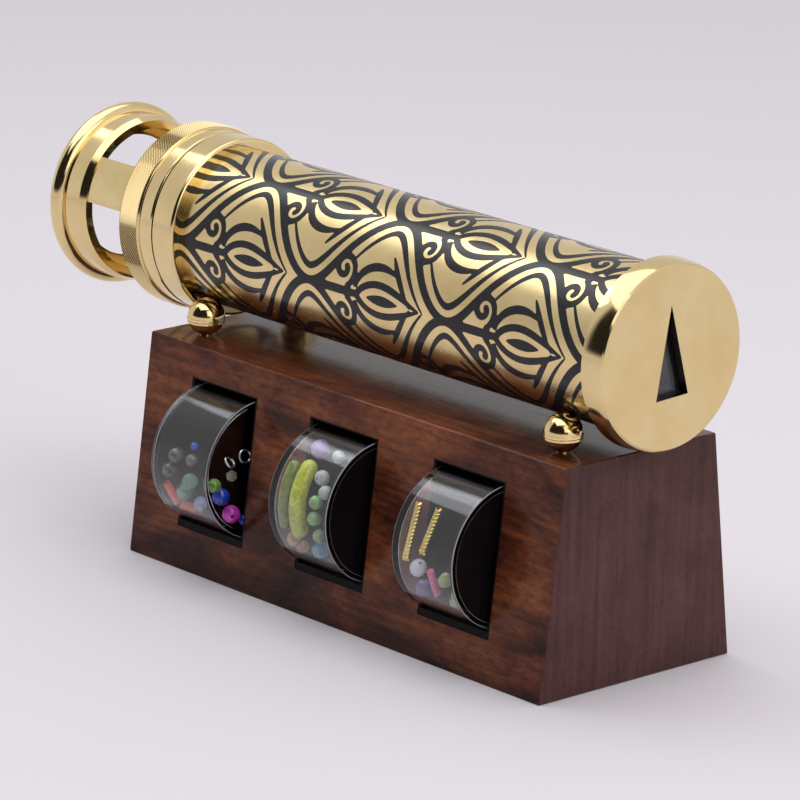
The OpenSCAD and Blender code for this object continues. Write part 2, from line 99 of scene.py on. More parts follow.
class Graph:
    """Adds nodes to a material or a world and links them."""

    def __init__(self, owner):
        owner.use_nodes = True
        self.tree = owner.node_tree

    def add(self, kind, inputs=None, **settings):
        node = self.tree.nodes.new(kind)
        for name, value in settings.items():
            setattr(node, name, value)
        for name, value in (inputs or {}).items():
            self.feed(node, name, value)
        return node

    def feed(self, node, name, value):
        """Sets an input, or links it where the value is another node's output."""
        if isinstance(value, bpy.types.NodeSocket):
            self.tree.links.new(value, node.inputs[name])
        else:
            node.inputs[name].default_value = value

    def place(self):
        """Place on the piece in the rest frame, in metres."""
        return self.add("ShaderNodeTexCoord").outputs["Object"]

    def facing_x(self):
        """1 where the surface faces along X, and 0 where it faces across."""
        normal = self.add("ShaderNodeNewGeometry").outputs["Normal"]
        return self.math("ABSOLUTE", self.split(normal)[0])

    def split(self, vector):
        return self.add("ShaderNodeSeparateXYZ", {0: vector}).outputs[:3]

    def join(self, x, y, z):
        return self.add("ShaderNodeCombineXYZ", {0: x, 1: y, 2: z}).outputs[0]

    def math(self, operation, *values):
        node = self.add("ShaderNodeMath", dict(enumerate(values)), operation=operation)
        return node.outputs[0]

    def above(self, value, limit):
        return self.math("GREATER_THAN", value, limit)

    def below(self, value, limit):
        return self.math("LESS_THAN", value, limit)

    def product(self, first, *others):
        for other in others:
            first = self.math("MULTIPLY", first, other)
        return first

    def total(self, one, two):
        """Sum of two pairs, each a value and its weight."""
        return self.math("ADD", self.product(*one), self.product(*two))

    def distance(self, one, two):
        """Distance from the middle of a plane."""
        return self.math("SQRT", self.total((one, one), (two, two)))

    def span(self, value, low, high, to_low=0.0, to_high=1.0):
        """Maps the range from low to high onto another, and holds its ends."""
        inputs = {"Value": value, 1: low, 2: high, 3: to_low, 4: to_high}
        return self.add("ShaderNodeMapRange", inputs).outputs[0]

    def noise(self, vector, scale=1.0, detail=2.0, rough=0.5, distortion=0.0):
        inputs = {"Vector": vector, "Scale": scale, "Detail": detail, "Roughness": rough}
        node = self.add("ShaderNodeTexNoise", inputs | {"Distortion": distortion})
        return node.outputs["Fac"]

    def grain(self, place, scales, **settings):
        """Noise that has its own scale along each axis."""
        node = self.add("ShaderNodeVectorMath", {0: place, 1: scales}, operation="MULTIPLY")
        return self.noise(node.outputs[0], **settings)

    def ramp(self, factor, stops):
        node = self.add("ShaderNodeValToRGB", {"Fac": factor})
        elements = node.color_ramp.elements
        while len(elements) < len(stops):
            elements.new(0.5)
        for element, (position, colour) in zip(elements, stops):
            element.position = position
            element.color = (*colour, 1)
        return node.outputs["Color"]

    def blend(self, factor, one, two, mode="MIX"):
        node = self.add("ShaderNodeMix", data_type="RGBA", blend_type=mode)
        for name, value in (("Factor", factor), ("A", one), ("B", two)):
            socket = next(s for s in node.inputs if s.name == name and s.enabled)
            if isinstance(value, bpy.types.NodeSocket):
                self.tree.links.new(value, socket)
            elif name == "Factor":
                socket.default_value = value
            else:
                socket.default_value = (*value, 1)
        return next(s for s in node.outputs if s.enabled)

    def shaded(self, colour, value):
        """The colour times a value."""
        return self.blend(1.0, colour, self.join(value, value, value), "MULTIPLY")

    def bump(self, height, strength, distance):
        inputs = {"Height": height, "Strength": strength, "Distance": distance}
        return self.add("ShaderNodeBump", inputs).outputs[0]

    def mix(self, factor, one, two):
        """A mix of two surfaces: the first at a factor of 0, and the second at 1."""
        return self.add("ShaderNodeMixShader", {0: factor, 1: one, 2: two}).outputs[0]

    def show(self, surface):
        self.feed(self.tree.nodes["Material Output"], "Surface", surface)


def material(name, **sockets):
    """A new material with its graph and its Principled shader, whose plain sockets are set."""
    made = bpy.data.materials.new(name)
    graph = Graph(made)
    shader = made.node_tree.nodes["Principled BSDF"]
    for socket, value in sockets.items():
        shader.inputs[socket.replace("_", " ")].default_value = value
    return made, graph, shader


def scale_colour(colour, factor, lift=0.0):
    """A colour times a factor, with a lift, and at most white."""
    return tuple(min(1, c * factor + lift) for c in colour)


def turned_brass(name, tone, dark_tone, roughness):
    """Polished brass with faint turning lines round the tube's axis and a little patina. Its colour is
    darker deep in the grooves of the knurl. The sides of the eyehole are black and not metallic."""
    made, graph, shader = material(name)
    place = graph.place()
    x, y, z = graph.split(place)
    radius = graph.distance(y, graph.math("SUBTRACT", z, AXIS.z))

    clouds = graph.noise(place, scale=70, detail=3, rough=0.6)
    colour = graph.blend(graph.span(clouds, 0.35, 0.7), tone, dark_tone)
    # The colour is darker deep in the grooves of the knurl.
    groove_darkening = graph.span(radius, KNURL_R - KNURL_DEPTH, KNURL_R - 0.1 * KNURL_DEPTH, 0.22, 0.0)
    groove = graph.product(groove_darkening,
                           graph.above(radius, KNURL_R - 1.5 * KNURL_DEPTH),
                           graph.above(x, ring_low.x + KNURL_MARGIN),
                           graph.below(x, ring_high.x - BAND_LEN - KNURL_MARGIN))
    colour = graph.blend(groove, colour, scale_colour(dark_tone, 0.3))
    # The sides of the eyehole are coloured black and not metallic.
    eyehole = graph.product(graph.below(graph.facing_x(), 0.5),
                            graph.below(radius, EYE_REACH),
                            graph.above(x, EYE_START))
    eyehole_black = (0.006, 0.005, 0.005)
    graph.feed(shader, "Base Color", graph.blend(eyehole, colour, eyehole_black))
    graph.feed(shader, "Metallic", graph.math("SUBTRACT", 1.0, eyehole))

    smudge = graph.noise(place, scale=230, detail=4, rough=0.65)
    worn = graph.span(smudge, 0.3, 0.75, roughness * 0.75, roughness * 1.35)
    on_tube = graph.product(graph.above(x, BARE_START), graph.below(x, BARE_END),
                            graph.below(radius, TUBE_R + 1 * MM))
    satin = graph.product(on_tube, 0.15)
    graph.feed(shader, "Roughness", graph.math("ADD", worn, satin))
    turning = graph.noise(graph.join(x, radius, 0.0), scale=2600, detail=3)
    graph.feed(shader, "Normal", graph.bump(turning, 0.25, 0.02 * MM))
    return made


def rosewood():
    """Red-brown wood with a figure and fine streaks along X, end grain at its two ends, and a thin
    clear finish on top."""
    made, graph, shader = material("rosewood", Coat_Weight=1.0, Coat_Roughness=0.14, Coat_IOR=1.2,
                                   Specular_IOR_Level=0.04)
    place = graph.place()
    x, y, z = graph.split(place)
    streaks = graph.grain(place, (30, 1000, 520), detail=4, rough=0.65)
    patches = graph.grain(place, (20, 34, 46), detail=4, rough=0.6, distortion=0.6)
    specks = graph.grain(place, (260, 620, 620), detail=3, rough=0.7)

    # Long sides
    warp = graph.grain(place, (9, 30, 22), detail=3)
    layer = graph.total((y, 230.0), (warp, 9.0))
    along_layers = graph.join(graph.product(x, 3.0), layer, graph.product(z, 12.0))
    rings = graph.noise(along_layers, detail=4, rough=0.6)
    figure = graph.total((rings, 0.35), (patches, 0.65))
    # Painted light: the long sides are painted darker towards the bottom and lighter towards the top.
    painted_light_up = graph.span(z, 0.0, WOOD_TOP, -0.05, 0.045)
    side = graph.ramp(graph.math("ADD", figure, painted_light_up), [
        (0.39, (0.022, 0.008, 0.006)), (0.46, (0.064, 0.018, 0.010)),
        (0.535, (0.134, 0.037, 0.016)), (0.62, (0.235, 0.072, 0.026))])
    side = graph.shaded(side, graph.product(graph.span(streaks, 0.37, 0.61, 0.64, 1.1),
                                            graph.span(specks, 0.35, 0.59, 0.68, 1.1)))

    # End grain
    bands = graph.grain(place, (30, 420, 16), detail=4, rough=0.65, distortion=0.4)
    end = graph.ramp(graph.total((bands, 0.5), (patches, 0.5)), [
        (0.36, (0.056, 0.023, 0.021)), (0.5, (0.087, 0.037, 0.033)),
        (0.64, (0.112, 0.050, 0.043))])
    # Painted shade: the end grain is painted darker towards its top and towards its bottom.
    end = graph.shaded(end, graph.product(graph.span(z, WOOD_HIGH, WOOD_TOP, 1.0, 0.84),
                                          graph.span(z, 0.0, WOOD_LOW, 0.86, 1.0),
                                          graph.span(specks, 0.34, 0.60, 0.85, 1.05)))
    colour = graph.blend(graph.span(graph.facing_x(), 0.6, 0.8), side, end)
    graph.feed(shader, "Base Color", colour)

    pores = graph.grain(place, (90, 2600, 1500))
    graph.feed(shader, "Roughness", graph.span(pores, 0.3, 0.7, 0.42, 0.30))
    graph.feed(shader, "Normal", graph.bump(graph.math("ADD", pores, streaks), 0.12, 0.08 * MM))
    return made


def enamel():
    """Glossy black enamel with a few dull specks."""
    made, graph, shader = material("black_enamel", Specular_IOR_Level=0.3)
    place = graph.place()
    specks = graph.noise(place, scale=900, detail=3, rough=0.6)
    haze = graph.noise(place, scale=60, detail=3, rough=0.6)
    ripple = graph.noise(place, scale=420)
    colour = graph.ramp(specks, [(0.60, (0.010, 0.010, 0.013)), (0.72, (0.05, 0.030, 0.026))])
    graph.feed(shader, "Base Color", colour)
    graph.feed(shader, "Roughness", graph.span(haze, 0.3, 0.7, 0.14, 0.28))
    graph.feed(shader, "Normal", graph.bump(ripple, 0.06, 0.04 * MM))
    return made


def plain(name, colour, roughness, metallic=0.0, grain=900, depth=0.05, vary=0.25, shine=0.5):
    """A solid finish with a fine grain in its colour, roughness and surface."""
    made, graph, shader = material(name, Metallic=metallic, Specular_IOR_Level=shine)
    place = graph.place()
    fine = graph.noise(place, scale=grain, detail=3, rough=0.6)
    broad = graph.noise(place, scale=grain / 9, detail=3, rough=0.6)
    darker = scale_colour(colour, 1 - vary)
    lighter = scale_colour(colour, 1 + vary)
    graph.feed(shader, "Base Color", graph.blend(graph.span(broad, 0.3, 0.7), darker, lighter))
    graph.feed(shader, "Roughness", graph.span(fine, 0.3, 0.7, roughness * 0.8, roughness * 1.2))
    graph.feed(shader, "Normal", graph.bump(fine, depth, 0.05 * MM))
    return made


def stone(name, colour, clearness):
    """Coloured glass for a bead: part clear, part milky, and a little uneven."""
    made, graph, shader = material(name, IOR=1.5, Transmission_Weight=clearness,
                                   Coat_Weight=0.6, Coat_Roughness=0.05)
    swirl = graph.noise(graph.place(), scale=420, detail=3, rough=0.6, distortion=0.8)
    darker = scale_colour(colour, 0.62)
    lighter = scale_colour(colour, 1.15, lift=0.03)
    graph.feed(shader, "Base Color", graph.blend(graph.span(swirl, 0.3, 0.7), darker, lighter))
    graph.feed(shader, "Roughness", graph.span(swirl, 0.3, 0.7, 0.048, 0.12))
    return made


def clear_wear(graph, darker, lighter):
    """Fine scratches, and a cloudy tint between two tones."""
    place = graph.place()
    scratches = graph.grain(place, (900, 3000, 3000), detail=3, rough=0.6)
    clouds = graph.noise(place, scale=160, detail=3)
    return scratches, graph.blend(graph.span(clouds, 0.3, 0.7), darker, lighter)


def let_light_through(graph, surface, tint):
    """Shows the surface, and lets the lamps' light through it to what is behind."""
    open_way = graph.add("ShaderNodeBsdfTransparent", {"Color": (*tint, 1)}).outputs[0]
    shadow = graph.add("ShaderNodeLightPath").outputs["Is Shadow Ray"]
    graph.show(graph.mix(shadow, surface, open_way))


def clear_glass():
    """Glass of the two end windows, with a faint green tint."""
    made, graph, shader = material("clear_glass", IOR=1.49, Transmission_Weight=1.0)
    tint = (0.93, 0.97, 0.95)
    scratches, colour = clear_wear(graph, scale_colour(tint, 0.97), tint)
    graph.feed(shader, "Base Color", colour)
    graph.feed(shader, "Roughness", graph.span(scratches, 0.45, 0.75, 0.01, 0.04))
    let_light_through(graph, shader.outputs[0], scale_colour(tint, 0.95))
    return made


def drum_plastic():
    """Clear plastic of the cells' drums, whose turned end edges are frosted."""
    made, graph, shader = material("clear_acrylic", IOR=1.42, Transmission_Weight=1.0)
    low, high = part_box("cell_2_drum")
    middle = (low.x + high.x) / 2
    half = (high.x - low.x) / 2
    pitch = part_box("cell_3_drum")[0].x - low.x
    x = graph.split(graph.place())[0]
    along = graph.math("WRAP", graph.math("SUBTRACT", x, middle), pitch / 2, -pitch / 2)
    frost_start, frost_full = half - 0.4 * MM, half - 0.2 * MM
    near_end = graph.span(graph.math("ABSOLUTE", along), frost_start, frost_full)
    flat_end = graph.span(graph.facing_x(), 0.9, 0.98)
    edge = graph.product(near_end, graph.math("SUBTRACT", 1.0, flat_end))
    scratches, tint = clear_wear(graph, (0.94, 0.96, 0.98), (0.98, 0.99, 1.0))
    tint = graph.blend(graph.span(scratches, 0.55, 0.75, 0.0, 0.3), tint, (0.90, 0.91, 0.93))
    graph.feed(shader, "Base Color", tint)
    graph.feed(shader, "Roughness", graph.product(edge, 0.3))
    graph.feed(shader, "Specular IOR Level", graph.span(flat_end, 0.0, 1.0, 0.36, 0.03))
    frost = graph.add("ShaderNodeBsdfDiffuse", {"Color": (0.62, 0.64, 0.66, 1)}).outputs[0]
    frosted = graph.mix(graph.product(edge, 0.45), shader.outputs[0], frost)
    let_light_through(graph, frosted, (0.93, 0.94, 0.96))
    return made


PLAIN_LOOKS = {
    "black_liner": dict(colour=(0.004, 0.003, 0.003), roughness=0.5, grain=400, depth=0.006, shine=0.10),
    "black_acrylic": dict(colour=(0.005, 0.004, 0.005), roughness=0.2, grain=400, depth=0.002, shine=0.2),
    "black_card": dict(colour=(0.012, 0.012, 0.013), roughness=0.7, grain=2500, depth=0.3),
    "mirror_glass": dict(colour=(0.55, 0.57, 0.60), roughness=0.07, metallic=1.0, grain=300, depth=0.01,
                         vary=0.05),
    "cork_disc": dict(colour=(0.20, 0.12, 0.06), roughness=0.85, grain=1400, depth=0.5, vary=0.4),
    "green_felt": dict(colour=(0.015, 0.07, 0.03), roughness=0.95, grain=3500, depth=0.6, vary=0.4),
    "silver_wire": dict(colour=(0.72, 0.72, 0.70), roughness=0.18, metallic=1.0),
    "gold_wire": dict(colour=(0.95, 0.66, 0.20), roughness=0.3, metallic=1.0),
    "coral_plastic": dict(colour=(0.95, 0.14, 0.05), roughness=0.25),
    "pink_plastic": dict(colour=(0.82, 0.16, 0.36), roughness=0.25),
    "pearl": dict(colour=(0.78, 0.76, 0.84), roughness=0.22, vary=0.1),
}
# Colour and clearness of the glass and plastic beads
STONE_LOOKS = {
    "blue_glass": ((0.006, 0.05, 0.62), 0.15),
    "pink_glass": ((0.95, 0.05, 0.70), 0.1),
    "green_glass": ((0.16, 0.34, 0.03), 0.2),
    "teal_glass": ((0.17, 0.36, 0.26), 0.3),
    "smoke_glass": ((0.10, 0.115, 0.10), 0.35),
    "lilac_glass": ((0.42, 0.45, 0.75), 0.3),
    "yellow_plastic": ((0.72, 0.76, 0.015), 0.15),
    "olive_plastic": ((0.26, 0.34, 0.03), 0.3),
    "purple_glass": ((0.42, 0.24, 0.62), 0.2),
    "pale_glass": ((0.70, 0.74, 0.70), 0.35),
    "leaf_glass": ((0.38, 0.66, 0.24), 0.3),
    "sky_glass": ((0.08, 0.48, 0.74), 0.3),
    "peach_glass": ((0.80, 0.50, 0.24), 0.25),
    "violet_glass": ((0.20, 0.12, 0.42), 0.25),
    "lime_glass": ((0.58, 0.74, 0.28), 0.4),
}
FINISHES = {
    "rosewood": rosewood(),
    "polished_brass": turned_brass("polished_brass", (0.83, 0.66, 0.345), (0.77, 0.585, 0.275), 0.10),
    "bronze": turned_brass("bronze", (0.62, 0.36, 0.15), (0.50, 0.27, 0.11), 0.25),
    "black_enamel": enamel(),
    "clear_glass": clear_glass(),
    "clear_acrylic": drum_plastic(),
}
for finish, look in PLAIN_LOOKS.items():
    FINISHES[finish] = plain(finish, **look)
for finish, look in STONE_LOOKS.items():
    FINISHES[finish] = stone(finish, *look)

# The record names a finish for every CAD node
NODE_SLOTS = {row["node"]: row["material_slot"] for row in frame["record"]["subparts"]}


def dress_nodes():
    """Gives every CAD node the finish that the record names for it."""
    for name, node in frame["nodes"].items():
        node.data.materials.clear()
        node.data.materials.append(FINISHES[NODE_SLOTS[name]])


def rounded(outline, radius, steps=4, closed=True):
    """Rounds the corners of an outline with curves. The ends of an open outline stay."""
    longest_cut = 0.45
    points = [Vector(p) for p in outline]
    made = []
    for i, corner in enumerate(points):
        if not closed and i in (0, len(points) - 1):
            made.append(tuple(corner))
            continue
        back = points[i - 1] - corner
        ahead = points[(i + 1) % len(points)] - corner
        half_turn = (math.pi - back.angle(ahead)) / 2
        cut = min(radius * math.tan(half_turn), longest_cut * back.length, longest_cut * ahead.length)
        start = corner + back.normalized() * cut
        end = corner + ahead.normalized() * cut
        for k in range(steps + 1):
            t = k / steps
            made.append(tuple((1 - t) ** 2 * start + 2 * t * (1 - t) * corner + t * t * end))
    return made


def turned(outline, place, segments=192, closed=True):
    """Corners and faces of an outline of (along, radius) points, turned about the local X axis."""
    on_axis = 1e-7
    corners, faces, rings = [], [], []
    for along, radius in outline:
        count = segments if radius > on_axis else 1
        rings.append([len(corners) + i for i in range(count)])
        for i in range(count):
            angle = 2 * math.pi * i / segments
            corners.append(place @ Vector((along, radius * math.cos(angle), radius * math.sin(angle))))
    following = rings[1:] + rings[:1] if closed else rings[1:]
    for one, two in zip(rings, following):
        for i in range(segments):
            quad = [one[i % len(one)], one[(i + 1) % len(one)],
                    two[(i + 1) % len(two)], two[i % len(two)]]
            face = list(dict.fromkeys(quad))
            if len(face) > 2:
                faces.append(face)
    return corners, faces


def round_axis(x, radius, angle):
    """A place at an angle round the tube's axis."""
    return x, radius * math.cos(angle), AXIS.z + radius * math.sin(angle)


def add_object(name, data):
    """A new object in the scene."""
    made = bpy.data.objects.new(name, data)
    scene.collection.objects.link(made)
    return made


def piece(name, parts, slot, body, replaced, sharp=40, weighted=True):
    """Joins parts, each a list of corners and one of faces, into one object, which rides on a body
    in place of CAD nodes."""
    corners, faces = [], []
    for more_corners, more_faces in parts:
        faces += [[i + len(corners) for i in face] for face in more_faces]
        corners += [tuple(c) for c in more_corners]
    mesh = bpy.data.meshes.new(name)
    mesh.from_pydata(corners, [], faces)
    shape = bmesh.new()
    shape.from_mesh(mesh)
    bmesh.ops.recalc_face_normals(shape, faces=shape.faces)
    shape.to_mesh(mesh)
    shape.free()
    mesh.shade_smooth()
    mesh.set_sharp_from_angle(angle=math.radians(sharp))
    mesh.materials.append(FINISHES[slot])
    made = add_object(name, mesh)
    if weighted:
        made.modifiers.new("even_flats", "WEIGHTED_NORMAL").keep_sharp = True
    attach(made, body)
    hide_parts(*replaced)


def knurled_ring():
    """The turning ring: a plain band, a V groove and a wide part cut with a fine diamond knurl."""
    bore = CAGE_R + FIT_GAP
    band = KNURL_R - 1 * MM
    x0, x1 = ring_low.x, ring_high.x
    knurl_x1 = x1 - BAND_LEN
    lip_depth = 0.6 * MM
    lip = bore - 0.9 * MM
    edge = 0.5 * MM
    bevel = 0.4 * MM
    softness = 0.12 * MM
    root = KNURL_R - KNURL_DEPTH
    plain_side = rounded([
        (x0, bore), (x0, root - edge), (x0 + edge, root),
        (knurl_x1 - edge, root), (knurl_x1, root - edge), (knurl_x1, band - bevel),
        (knurl_x1 + bevel, band), (x1 - bevel, band), (x1, band - bevel),
        (x1, lip), (x1 - lip_depth, lip), (x1 - lip_depth, bore),
    ], softness, steps=3)
    columns = 2 * round(math.pi * 2 * KNURL_R / KNURL_PITCH)
    rows = 2 * round((knurl_x1 - x0 - 2 * edge) / KNURL_PITCH)
    body = turned(plain_side, Matrix.Translation(AXIS), segments=columns)
    parts = [body, knurl_sheet(x0 + edge, knurl_x1 - edge, rows, columns)]
    piece("diamond_knurl_ring", parts, "polished_brass", "object_end", ["knurled_ring"], sharp=30)


def knurl_sheet(x0, x1, rows, columns):
    """A thin sleeve of pyramids on a diagonal grid, whose peaks reach the ring's full radius."""
    corners, faces = [], []
    inner = KNURL_R - KNURL_DEPTH - 0.1 * MM
    turn = 2 * math.pi / columns
    for row in range(rows + 1):
        for column in range(columns):
            peak = (row + column) % 2 and 0 < row < rows
            radius = KNURL_R if peak else KNURL_R - KNURL_DEPTH
            corners.append(round_axis(x0 + (x1 - x0) * row / rows, radius, turn * column))
    for row in range(rows):
        for column in range(columns):
            beside = (column + 1) % columns
            a, b = row * columns + column, row * columns + beside
            c, d = (row + 1) * columns + beside, (row + 1) * columns + column
            faces += [[a, b, c], [a, c, d]] if (row + column) % 2 == 0 else [[a, b, d], [b, c, d]]
    outer = len(corners)
    last = rows * columns
    for x in (x0, x1):
        corners += [round_axis(x, inner, turn * column) for column in range(columns)]
    for column in range(columns):
        beside = (column + 1) % columns
        low, high = outer + column, outer + columns + column
        low_next, high_next = outer + beside, outer + columns + beside
        faces += [[column, beside, low_next, low], [last + column, last + beside, high_next, high],
                  [low, low_next, high_next, high]]
    return corners, faces


# The ornament on the tube, drawn in mm on one flat tile: u runs along the tube and v round it
TILES_ALONG = 3
TILES_ROUND = 3
TILE_L = (BARE_END - BARE_START) / TILES_ALONG / MM
TILE_W = 2 * math.pi * TUBE_R / TILES_ROUND / MM
CELL_SIZE = 0.62
STROKE_SCALE = 1.1


def bezier(p0, p1, p2, p3, count=60):
    """Points of a curve from p0 to p3, which p1 and p2 pull to themselves."""
    t = np.linspace(0, 1, count)[:, None]
    p0, p1, p2, p3 = (np.array(p, float) for p in (p0, p1, p2, p3))
    return (1 - t) ** 3 * p0 + 3 * (1 - t) ** 2 * t * p1 + 3 * (1 - t) * t ** 2 * p2 + t ** 3 * p3


def spiral(centre, r0, r1, start, turns, count=90):
    """Points of a spiral from radius r0 to r1, which starts at an angle in degrees."""
    t = np.linspace(0, 1, count)
    angle = math.radians(start) + 2 * math.pi * turns * t
    radius = r0 + (r1 - r0) * t ** 0.85
    return np.stack([centre[0] + radius * np.cos(angle), centre[1] + radius * np.sin(angle)], 1)


def ogee(inset, first=-math.inf, last=math.inf, count=260):
    """Half of a pointed oval with S-shaped sides, drawn inwards by an inset and cut at two places."""
    u = np.linspace(-0.5, 0.5, count)
    line = np.stack([u * TILE_L, TILE_W / 4 * (1 + np.cos(2 * math.pi * u))], 1)
    step = np.gradient(line, axis=0)
    inwards = np.stack([step[:, 1], -step[:, 0]], 1) / np.hypot(*step.T)[:, None]
    line = line + inset * inwards
    return line[(line[:, 0] > first) & (line[:, 0] < last) & (line[:, 1] > 0)]


def drop(left, right, half_width, count=90):
    """The upper side of a drop, which is widest left of its middle."""
    t = np.linspace(0, 1, count)
    rise = half_width * np.sin(math.pi * t ** 0.72) * (1 - 0.15 * t)
    return np.stack([left + (right - left) * t, rise], 1)


def swelling(count, start, middle, end):
    """Half widths along a stroke that swells to its middle."""
    t = np.linspace(0, 1, count)
    rise = start + (middle - start) * np.sin(np.clip(2 * t, 0, 1) * math.pi / 2)
    fall = end + (middle - end) * np.sin(np.clip(2 * (1 - t), 0, 1) * math.pi / 2)
    return np.where(t < 0.5, rise, fall)


def ornament_strokes():
    """Strokes of one tile: points and half widths. All but those on the middle line are mirrored."""
    paired = [
        (ogee(0), (1.2, 1.3, 1.2)),
        (ogee(4.6, -13, 23), (0.35, 1.0, 0.3)),
        (ogee(8.6, 4, 17), (0.3, 0.95, 0.3)),
        (drop(-9, 19, 5.0), (1.0, 1.05, 0.4)),
        (spiral((-15.6, 7.0), 5.6, 1.0, -68, 1.3), (0.9, 1.0, 0.95)),
        (bezier((-9.8, 3.0), (-7.5, 9.5), (0, 12.5), (9.5, 8.0)), (0.9, 1.25, 0.3)),
        (bezier((-27.5, 1.6), (-25, 2.0), (-23.2, 3.2), (-21.8, 5.6)), (0.9, 0.8, 0.3)),
    ]
    single = [
        (bezier((-31.5, 0), (-25, 0), (-15, 0), (-9, 0)), (0.9, 1.3, 1.0)),
        (bezier((-4, 0), (0, 0), (5, 0), (9.5, 0)), (0.4, 1.5, 0.2)),
    ]
    mirrored = [(points * [1, -1], widths) for points, widths in paired]
    return [(points, STROKE_SCALE * swelling(len(points), *widths))
            for points, widths in paired + single + mirrored]


def ornament_field(count_u, count_v):
    """Distance from each grid point of a tile to the edge of the nearest stroke, negative inside."""
    far = 9.0
    margin = 4
    us = np.arange(count_u) * TILE_L / count_u
    vs = np.arange(count_v) * TILE_W / count_v
    nearest = np.full((count_u, count_v), far)
    shifts = [(du + su * TILE_L, dv + sv * TILE_W) for su in (-1, 0, 1) for sv in (-1, 0, 1)
              for du, dv in ((0, 0), (TILE_L / 2, TILE_W / 2))]
    for points, widths in ornament_strokes():
        for shift in shifts:
            moved = points + np.array(shift)
            low, high = moved.min(0) - margin, moved.max(0) + margin
            in_u = np.nonzero((us > low[0]) & (us < high[0]))[0]
            in_v = np.nonzero((vs > low[1]) & (vs < high[1]))[0]
            if len(in_u) == 0 or len(in_v) == 0:
                continue
            grid_u, grid_v = np.meshgrid(us[in_u], vs[in_v], indexing="ij")
            away = np.hypot(grid_u[..., None] - moved[:, 0], grid_v[..., None] - moved[:, 1]) - widths
            block = np.ix_(in_u, in_v)
            nearest[block] = np.minimum(nearest[block], away.min(-1))
    return nearest


def cut_out(field):
    """Corners, in grid steps, and faces of the part of a grid where a field is negative. Rows follow
    each other along the tube. Columns follow each other round it, and the last meets the first."""
    rows, columns = field.shape[0] - 1, field.shape[1]
    corners, numbers, faces = [], {}, []

    def wrapped(point):
        return point[0], point[1] % columns

    def number(key, place):
        if key not in numbers:
            numbers[key] = len(corners)
            corners.append(place)
        return numbers[key]

    def crossing(here, ahead):
        start, end = wrapped(here), wrapped(ahead)
        share = field[start] / (field[start] - field[end])
        place = tuple(a + (b - a) * share for a, b in zip(here, ahead))
        return number(tuple(sorted((start, end))), place)

    for row in range(rows):
        for column in range(columns):
            square = [(row, column), (row + 1, column), (row + 1, column + 1), (row, column + 1)]
            inside = [field[wrapped(point)] < 0 for point in square]
            loop = []
            for k in range(4):
                here, ahead = square[k], square[(k + 1) % 4]
                if inside[k]:
                    loop.append(number(wrapped(here), wrapped(here)))
                if inside[k] != inside[(k + 1) % 4]:
                    loop.append(crossing(here, ahead))
            loop = list(dict.fromkeys(loop))
            if len(loop) > 2:
                faces.append(loop)
    return corners, faces


def tube_enamel():
    """Raised enamel: the ornament's strokes cut from a grid that is wrapped round the tube."""
    tile_u, tile_v = round(TILE_L / CELL_SIZE), round(TILE_W / CELL_SIZE)
    field = np.tile(ornament_field(tile_u, tile_v), (TILES_ALONG, TILES_ROUND))
    places, outside = cut_out(np.vstack([field, field[:1]]))
    step = TILE_L * MM / tile_u
    turn = 2 * math.pi / (tile_v * TILES_ROUND)
    corners = [round_axis(BARE_START + along * step, radius, across * turn)
               for radius in (TUBE_R + ENAMEL_T, TUBE_R - ENAMEL_T) for along, across in places]
    edges = dict.fromkeys((a, b) for face in outside for a, b in zip(face, face[1:] + face[:1]))
    count = len(places)
    walls = [[a, b, b + count, a + count] for a, b in edges if (b, a) not in edges]
    inside = [[i + count for i in face] for face in outside]
    mesh = bpy.data.meshes.new("tube_enamel")
    mesh.from_pydata(corners, [], [face[::-1] for face in outside] + inside + walls)
    mesh.update()
    mesh.shade_smooth()
    outward = [(0, math.cos(across * turn), math.sin(across * turn)) for _, across in places]
    normals = []
    for number, polygon in enumerate(mesh.polygons):
        for vertex in polygon.vertices:
            normals.append(outward[vertex] if number < len(outside) else tuple(polygon.normal))
    mesh.normals_split_custom_set(normals)
    mesh.materials.append(FINISHES["black_enamel"])
    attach(add_object("tube_enamel", mesh), "scope")


def islands(name):
    """Middle and radius of each loose bead of a CAD node."""
    same_place = 1e-6
    shape = bmesh.new()
    shape.from_mesh(frame["nodes"][name].data)
    bmesh.ops.remove_doubles(shape, verts=shape.verts, dist=same_place)
    found, seen = [], set()
    for start in shape.verts:
        if start in seen:
            continue
        group, waiting = [], [start]
        seen.add(start)
        while waiting:
            vertex = waiting.pop()
            group.append(vertex.co.copy())
            for edge in vertex.link_edges:
                other = edge.other_vert(vertex)
                if other not in seen:
                    seen.add(other)
                    waiting.append(other)
        low = Vector([min(c[k] for c in group) for k in range(3)])
        high = Vector([max(c[k] for c in group) for k in range(3)])
        found.append(((low + high) / 2, (high.z - low.z) / 2))
    shape.free()
    return found


def drilled_bead(middle, radius, lean, spin):
    """A round bead with a hole through it, turned to a lean and a spin."""
    hole = 0.2 * radius
    start = math.asin(hole / radius)
    steps = 20
    outline = [(radius * math.cos(a), radius * math.sin(a))
               for a in (start + (math.pi - 2 * start) * k / steps for k in range(steps + 1))]
    lip = 0.8 * math.cos(start) * radius
    waist = 0.8 * hole
    outline += [(-lip, waist), (lip, waist)]
    place = Matrix.Translation(middle) @ Matrix.Rotation(spin, 4, "Z") @ Matrix.Rotation(lean, 4, "Y")
    return turned(outline, place, segments=40)


BEAD_NODES = {
    1: ["blue_beads", "pink_bead", "green_bead", "teal_beads", "smoke_beads", "lilac_bead"],
    2: ["purple_bead", "pale_beads", "leaf_beads", "peach_beads"],
    3: ["pearl_bead", "violet_bead"],
}


def beads():
    """Replaces each plain CAD bead by a drilled one."""
    for cell, names in BEAD_NODES.items():
        for short in names:
            node = f"cell_{cell}_{short}"
            parts = [drilled_bead(middle, radius, *rng.uniform(0, math.pi, 2))
                     for middle, radius in islands(node)]
            piece(f"drilled_{short}", parts, NODE_SLOTS[node], f"cell_{cell}", [node],
                  sharp=50, weighted=False)


